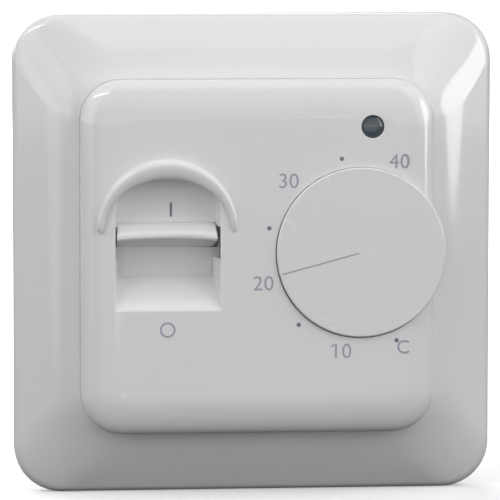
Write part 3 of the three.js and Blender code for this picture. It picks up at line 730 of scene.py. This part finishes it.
def make_cover():
    """The front cover: a pillow-edged shell with the dial's cup, the switch's recess and the hooks."""
    outside = [(COVER_HALF, SKIRT), *pillow(24)]
    inner_half = COVER_HALF - WALL
    inside = [
        (inner_half, SKIRT + 1),
        (inner_half, FACE + WALL + 1.9),
        (inner_half - 1.2, FACE + WALL + 0.9),
        (inner_half - 5, FACE + WALL),
    ]
    rings = square_rings(outside, lambda half: COVER_CORNER - (COVER_HALF - half) * 0.8, 20)
    cover = skin("front_cover", rings)
    hollow = skin("inside", square_rings(inside, lambda half: COVER_CORNER - WALL))
    combine(cover, [hollow], "DIFFERENCE")
    combine(cover, cover_additions(outside), "UNION")
    combine(cover, cover_cutters(), "DIFFERENCE")
    return combine(cover, [make_hood()], "UNION")


def rounded(corners, steps=6):
    """A closed outline with curved corners, from (a, b, radius). A radius of 0 leaves the corner sharp."""
    outline = []
    for i, (a, b, radius) in enumerate(corners):
        corner = Vector((a, b))
        before = Vector(corners[i - 1][:2]) - corner
        after = Vector(corners[(i + 1) % len(corners)][:2]) - corner
        if radius:
            start = corner + before.normalized() * radius
            end = corner + after.normalized() * radius
            outline += bezier(tuple(start), (a, b), tuple(end), steps)
        else:
            outline.append((a, b))
    return outline


def make_lip():
    """The lip that a finger pushes: a wedge with a sloping top, bowed up a little in the middle."""
    root = PANEL["front"] + 0.3
    top, bottom, front = LIP["top"], LIP["bottom"], LIP["front"]
    section = rounded(
        [
            (root, top, 0),
            (front + 2.3, top, 1),
            (front - 0.05, bottom + 2.55, 0.75),
            (front - 0.05, bottom + 1.5, 0.6),
            (root, bottom, 0),
        ]
    )
    edge = 0.3
    quarter = [math.radians(a) for a in range(0, 91, 15)]
    ends = [(LIP["half"] - edge * (1 - math.cos(a)), edge * (1 - math.sin(a))) for a in quarter]
    flat = [(LIP["half"] * part / 5, 0) for part in range(4, -5, -1)]
    stations = [*ends, *flat, *[(-x, inset) for x, inset in reversed(ends)]]
    middle = (bottom + top) / 2
    rings = []
    for x, inset in stations:
        ring = []
        for y, z in section:
            part = (y - root) / (front - root)
            width = 1 - LIP["taper"] / LIP["half"] * (1 - part)
            bow = LIP["bow"] * part * (1 - (x / LIP["half"]) ** 2)
            height = middle + (z - middle) * (1 - 2 * inset / (top - bottom)) + bow
            depth = root + (y - root) * (1 - inset / (root - front))
            ring.append((LIP["x"] + x * width, depth, height))
        rings.append(ring)
    return skin("lip", rings)


def make_fork():
    """A root behind the slide's panel and two fingers, which hold the switch's pin between them."""
    x0, x1 = SLIDE_X - FORK["half"], SLIDE_X + FORK["half"]
    start = PANEL["back"] - 0.2
    middle = (PIN[0].z + PIN[1].z) / 2
    reach, half = FORK["reach"], FORK["finger"] / 2
    fingers = [
        block("finger", x0, x1, start, SLIDE[1].y, z - half, z + half)
        for z in (middle - reach - half, middle + reach + half)
    ]
    return [block("root", x0, x1, start, PIN[0].y - 0.4, middle - reach - 1, middle + reach + 1), *fingers]


def make_slide():
    """The switch's slide: a panel behind the cover, the lip, and the fork that moves the switch's pin."""
    front, back = PANEL["front"], PANEL["back"]
    z0, z1 = SLIDE[0].z, SLIDE[1].z
    panel = block("switch_slide", SLIDE_X - SLIDE_HALF, SLIDE_X + SLIDE_HALF, front, back, z0, z1)
    # Gaps beside the lip.
    beside = LIP["half"] - LIP["taper"] + 0.35
    gaps = [
        block("gap", x - 0.3, x + 0.3, front - 1, back + 1, LIP["bottom"], LIP["top"])
        for x in (SLIDE_X - beside, SLIDE_X + beside)
    ]
    combine(panel, gaps, "DIFFERENCE")
    return combine(panel, [make_lip(), *make_fork()], "UNION")


def make_dial():
    """The dial: a shallow cup, flush with the face, with a boss that is pushed on the flatted shaft."""
    edge, wall = 0.3, 1.3
    rim = arc(DIAL_RADIUS - edge, DIAL_FRONT + edge, edge, -90, 0, 8)
    back = DIAL_FRONT + 3.6
    inside = DIAL_FRONT + 1.7
    profile = [
        *rim,
        (DIAL_RADIUS, back),
        (DIAL_RADIUS - wall, back),
        (DIAL_RADIUS - wall, inside),
        (5.2, inside),
        (5, DIAL_BOSS),
    ]
    dial = turned("dial_knob", DIAL_X, DIAL_Z, profile, 256)
    bore, flat = 3.12, 0.6  # the flat is this share of the bore's radius above its axis
    reach = math.degrees(math.asin(flat))
    outline = [(DIAL_X + x, DIAL_Z + z) for x, z in arc(0, 0, bore, 180 - reach, 360 + reach, 60)]
    return combine(dial, [slab("bore", outline, DIAL_FRONT + 2, DIAL_BOSS + 1)], "DIFFERENCE")


def make_lens():
    """The lamp's window: a shallow dome in the face, with a collar behind it."""
    radius = (LENS[1].x - LENS[0].x) / 2 - LAMP_COLLAR
    front, back = LENS[0].y, LENS[1].y
    rise, thick = 0.35, 0.75
    sphere = (radius**2 + rise**2) / (2 * rise)
    sweep = math.degrees(math.asin(radius / sphere))
    dome = arc(0, front + sphere, sphere, -89.5, -90 + sweep, 12)
    collar = [(radius, back - thick), (radius + LAMP_COLLAR, back - thick), (radius + LAMP_COLLAR, back)]
    return turned("lamp_lens", LAMP_X, LAMP_Z, [*dome, *collar], 96)


# ---- Printed marks ----
def make_label(name, words, height, x, y, z):
    """Raised ink letters in the built-in font, which face the room and are centred on x and z."""
    digit_share = 0.7  # of the font's size
    curve = bpy.data.curves.new(name, "FONT")
    curve.body = words
    curve.size = height / digit_share * MM
    curve.align_x = "CENTER"
    curve.extrude = INK_DEPTH * MM
    curve.space_character = 1.04
    curve.resolution_u = 6
    letters = bpy.data.objects.new(name + "_curve", curve)
    bpy.context.scene.collection.objects.link(letters)
    bpy.context.view_layer.update()
    mesh = bpy.data.meshes.new_from_object(letters.evaluated_get(bpy.context.evaluated_depsgraph_get()))
    bpy.data.objects.remove(letters)
    upright = Matrix.Rotation(math.radians(90), 4, "X")
    mesh.transform(Matrix.Translation((x * MM, y * MM, (z - height / 2) * MM)) @ upright)
    label = bpy.data.objects.new(name, mesh)
    bpy.context.scene.collection.objects.link(label)
    return label


def around_dial(angle, radius):
    """The x and z of a place round the dial, from an angle in degrees."""
    turn = math.radians(angle)
    return DIAL_X + radius * math.cos(turn), DIAL_Z + radius * math.sin(turn)


def inked(name, outline, surface):
    """A thin layer of ink, half sunk in a surface at this depth."""
    return slab(name, outline, surface - INK_DEPTH, surface + INK_DEPTH)


def make_scale():
    """The numbers, the unit and the dots round the dial."""
    marks = []
    for celsius, radius in LABEL_RADIUS.items():
        x, z = around_dial(SCALE[celsius], radius)
        marks.append(make_label(f"scale_{celsius}", str(celsius), DIGIT_HEIGHT, x, FACE, z))
    x, z = around_dial(SCALE[10], LABEL_RADIUS[10])
    marks.append(inked("scale_10_flag", [(x + across, z + up) for across, up in ONE_FLAG], FACE))
    across, up = UNIT_PLACE
    marks.append(make_label("scale_unit", "C", UNIT_HEIGHT, DIAL_X + across, FACE, DIAL_Z + up))
    for celsius in (5, 15, 25, 35):
        x, z = around_dial(SCALE[celsius], DOT_RADIUS)
        marks.append(rod(f"scale_dot_{celsius}", x, z, DOT_SIZE, FACE - INK_DEPTH, FACE + INK_DEPTH, 32))
    return marks


def make_on_mark():
    """The upright stroke on the recess's floor, above the lip."""
    x0, x1 = ON_MARK["x"] - ON_MARK["half_width"], ON_MARK["x"] + ON_MARK["half_width"]
    z0, z1 = ON_MARK["z"] - ON_MARK["half_height"], ON_MARK["z"] + ON_MARK["half_height"]
    return inked("on_mark", [(x0, z0), (x1, z0), (x1, z1), (x0, z1)], RECESS["floor"])


def make_off_mark():
    """The ring on the face, below the recess."""
    x, z = OFF_MARK["x"], OFF_MARK["z"]
    mark = rod("off_mark", x, z, OFF_MARK["outer"], FACE - INK_DEPTH, FACE + INK_DEPTH, 64)
    return combine(mark, [rod("hole", x, z, OFF_MARK["inner"], FACE - 1, FACE + 1, 64)], "DIFFERENCE")


def make_pointer():
    """The thin line on the dial that shows the set temperature."""
    turn = math.radians(POINTER["angle"])
    along = Vector((math.cos(turn), math.sin(turn)))
    across = Vector((-along.y, along.x)) * POINTER["half"]
    centre = Vector((DIAL_X, DIAL_Z))
    inner, outer = centre + along * POINTER["inner"], centre + along * POINTER["outer"]
    corners = (inner - across, outer - across, outer + across, inner + across)
    return inked("dial_pointer", [tuple(corner) for corner in corners], DIAL_FRONT)


# ---- The CAD pieces that stay ----
def smooth_by_angle():
    """A geometry-nodes group that shades smooth, except at edges sharper than 35 degrees."""
    group = bpy.data.node_groups.new("smooth by angle", "GeometryNodeTree")
    group.interface.new_socket("Geometry", in_out="INPUT", socket_type="NodeSocketGeometry")
    group.interface.new_socket("Geometry", in_out="OUTPUT", socket_type="NodeSocketGeometry")
    entry = group.nodes.new("NodeGroupInput")
    end = group.nodes.new("NodeGroupOutput")
    faces = group.nodes.new("GeometryNodeSetShadeSmooth")
    edges = group.nodes.new("GeometryNodeSetShadeSmooth")
    edges.domain = "EDGE"
    angle = group.nodes.new("GeometryNodeInputMeshEdgeAngle")
    flat = group.nodes.new("FunctionNodeCompare")
    flat.operation = "GREATER_THAN"
    flat.inputs["B"].default_value = math.radians(35)
    edges.inputs["Shade Smooth"].default_value = False
    group.links.new(entry.outputs[0], faces.inputs["Geometry"])
    group.links.new(faces.outputs["Geometry"], edges.inputs["Geometry"])
    group.links.new(angle.outputs["Unsigned Angle"], flat.inputs["A"])
    group.links.new(flat.outputs["Result"], edges.inputs["Selection"])
    group.links.new(edges.outputs["Geometry"], end.inputs[0])
    return group


# Widths of the bevels. A node that isn't listed gets the usual one.
BEVEL = 0.12
BEVELS = {"mounting_base": 0.25, "terminal_block": 0.2, "relay_case": 0.35, "varistor": 0.3}


def finish_node(node, shading):
    """Welds, bevels and shades a CAD node, and gives it its slot's material."""
    thing = NODES[node]
    material = FINISHES[SLOTS[node]]
    thing.data.materials.clear()
    thing.data.materials.append(material)
    weld = thing.modifiers.new("weld", "WELD")
    weld.merge_threshold = 0.001 * MM
    bevel = thing.modifiers.new("bevel", "BEVEL")
    bevel.width = BEVELS.get(node, BEVEL) * MM
    bevel.segments = 2
    bevel.limit_method = "ANGLE"
    bevel.angle_limit = math.radians(50)
    smoothing = thing.modifiers.new("smooth", "NODES")
    smoothing.node_group = shading
    weights = thing.modifiers.new("flat faces", "WEIGHTED_NORMAL")
    weights.keep_sharp = True


# ---- Stage and light ----
def make_floor():
    """A pale floor with a painted glow. The glow is weak round the part, so the floor is darker there, and
    full away from it, where the floor brightens into the white background.
    """
    reach = 12  # metres
    corners = [(-reach, -reach), (reach, -reach), (reach, reach), (-reach, reach)]
    mesh = bpy.data.meshes.new("floor")
    mesh.from_pydata([(x, y, FLOOR_Z * MM) for x, y in corners], [], [(0, 1, 2, 3)])
    floor = bpy.data.objects.new("floor", mesh)
    bpy.context.scene.collection.objects.link(floor)
    s = Shader("pale floor", (0.86, 0.86, 0.86), 0.7)
    s.paint(s.mix(s.spread(s.noise(300, 4), 0, 1), (0.86, 0.86, 0.86), (0.84, 0.84, 0.845)))
    s.roughness(s.noise(40, 4), 0.6, 0.75)
    # Painted light: the floor glows, dimly within near of the middle and fully beyond far.
    s.shader.inputs["Emission Color"].default_value = (1, 1, 1, 1)
    distance = s.tree.nodes.new("ShaderNodeVectorMath")
    distance.operation = "LENGTH"
    s.link(s.where, distance.inputs[0])
    near, far = 0.05, 0.4  # metres from the middle
    s.link(s.spread(distance.outputs["Value"], 0.25, 1, near, far), s.shader.inputs["Emission Strength"])
    mesh.materials.append(s.material)
    floor.visible_diffuse = False
    floor.visible_glossy = False


def make_world():
    """A dim studio with a narrow bright band at the horizon. It goes dark on the right, behind the part."""
    world = bpy.data.worlds.new("studio")
    bpy.context.scene.world = world
    world.use_nodes = True
    tree = world.node_tree
    where = tree.nodes.new("ShaderNodeTexCoord")
    split = tree.nodes.new("ShaderNodeSeparateXYZ")
    ramp = tree.nodes.new("ShaderNodeValToRGB")
    span = tree.nodes.new("ShaderNodeMapRange")
    span.inputs["From Min"].default_value = -1
    tree.links.new(where.outputs["Generated"], split.inputs["Vector"])
    tree.links.new(split.outputs["Z"], span.inputs["Value"])
    tree.links.new(span.outputs["Result"], ramp.inputs["Fac"])
    tree.links.new(ramp.outputs["Color"], tree.nodes["Background"].inputs["Color"])
    right_behind = (0.9, 0.43, 0)
    aside = tree.nodes.new("ShaderNodeVectorMath")
    aside.operation = "DOT_PRODUCT"
    aside.inputs[1].default_value = right_behind
    dim = tree.nodes.new("ShaderNodeMapRange")
    for name, number in (("From Min", 0.75), ("From Max", 0.95), ("To Min", 1), ("To Max", 0.05)):
        dim.inputs[name].default_value = number
    tree.links.new(where.outputs["Generated"], aside.inputs[0])
    tree.links.new(aside.outputs["Value"], dim.inputs["Value"])
    tree.links.new(dim.outputs["Result"], tree.nodes["Background"].inputs["Strength"])
    # Brightness by height, from straight down at 0 over the horizon at 0.5 to straight up at 1.
    stops = [(0, 0), (0.36, 0.04), (0.49, 0.2), (0.497, 1.1), (0.515, 1.1), (0.53, 0.3), (0.7, 0), (1, 0.1)]
    elements = ramp.color_ramp.elements
    for height, _ in stops[1:-1]:
        elements.new(height)
    for element, (height, level) in zip(elements, stops):
        element.position = height
        element.color = (level, level, level, 1)


def make_light(name, azimuth, elevation, distance, width, height, power):
    """A soft light that looks at the thermostat."""
    data = bpy.data.lights.new(name, "AREA")
    data.shape = "RECTANGLE"
    data.size = width
    data.size_y = height
    data.energy = power
    light = bpy.data.objects.new(name, data)
    bpy.context.scene.collection.objects.link(light)
    turn, rise = math.radians(azimuth), math.radians(elevation)
    away = Vector((math.sin(turn) * math.cos(rise), -math.cos(turn) * math.cos(rise), math.sin(rise)))
    light.location = away * distance
    light.rotation_euler = (-away).to_track_quat("-Z", "Y").to_euler()
    return light


def make_reflection(*settings):
    """A light that only shows as a reflection, with a round outline."""
    light = make_light(*settings)
    light.data.shape = "ELLIPSE"
    light.visible_diffuse = False


# Azimuth and elevation in degrees, distance, width and height in metres, and power in watts.
LIGHTS = {
    "left": (-62, 27, 0.9, 1, 1, 5.1),
    "right": (62, 27, 0.9, 1, 1, 6),
    "front": (0, 6, 0.8, 0.8, 0.8, 1.1),
    "top": (0, 70, 0.7, 0.6, 0.5, 0.95),
    "back": (205, 35, 0.9, 1, 1, 7),
}
REFLECTIONS = {
    "window": (57, 11.7, 1.6, 0.62, 0.9, 8),
    "far_window": (-46, 8, 1.6, 0.3, 0.9, 0.7),
    "lamp": (-48, 42, 1.4, 1.1, 0.1, 3),
}


# ---- Assembly ----
REPLACEMENTS = {
    "decor_plate": (make_plate, "housing"),
    "front_cover": (make_cover, "housing"),
    "lamp_lens": (make_lens, "housing"),
    "switch_slide": (make_slide, "slide"),
    "dial_knob": (make_dial, "dial"),
}
SLOTS = {part["node"]: part["material_slot"] for part in frame["record"]["subparts"]}


def main():
    """Makes the fine pieces and the marks, finishes the CAD pieces that stay, and lights it all."""
    for node, (make, body) in REPLACEMENTS.items():
        piece = make()
        piece.name = node + "_shell"
        smooth(piece)
        place(piece, body, FINISHES[SLOTS[node]], node)
    for mark in [*make_scale(), make_on_mark(), make_off_mark()]:
        place(mark, "housing", DARK_INK if mark.name in DARK_MARKS else INK)
    place(make_pointer(), "dial", INK)
    shading = smooth_by_angle()
    for node in NODES:
        if node not in REPLACEMENTS:
            finish_node(node, shading)
    bpy.context.scene.view_settings.view_transform = "Standard"
    make_floor()
    make_world()
    for name, settings in LIGHTS.items():
        make_light(name, *settings)
    for name, settings in REFLECTIONS.items():
        make_reflection(name, *settings)


main()
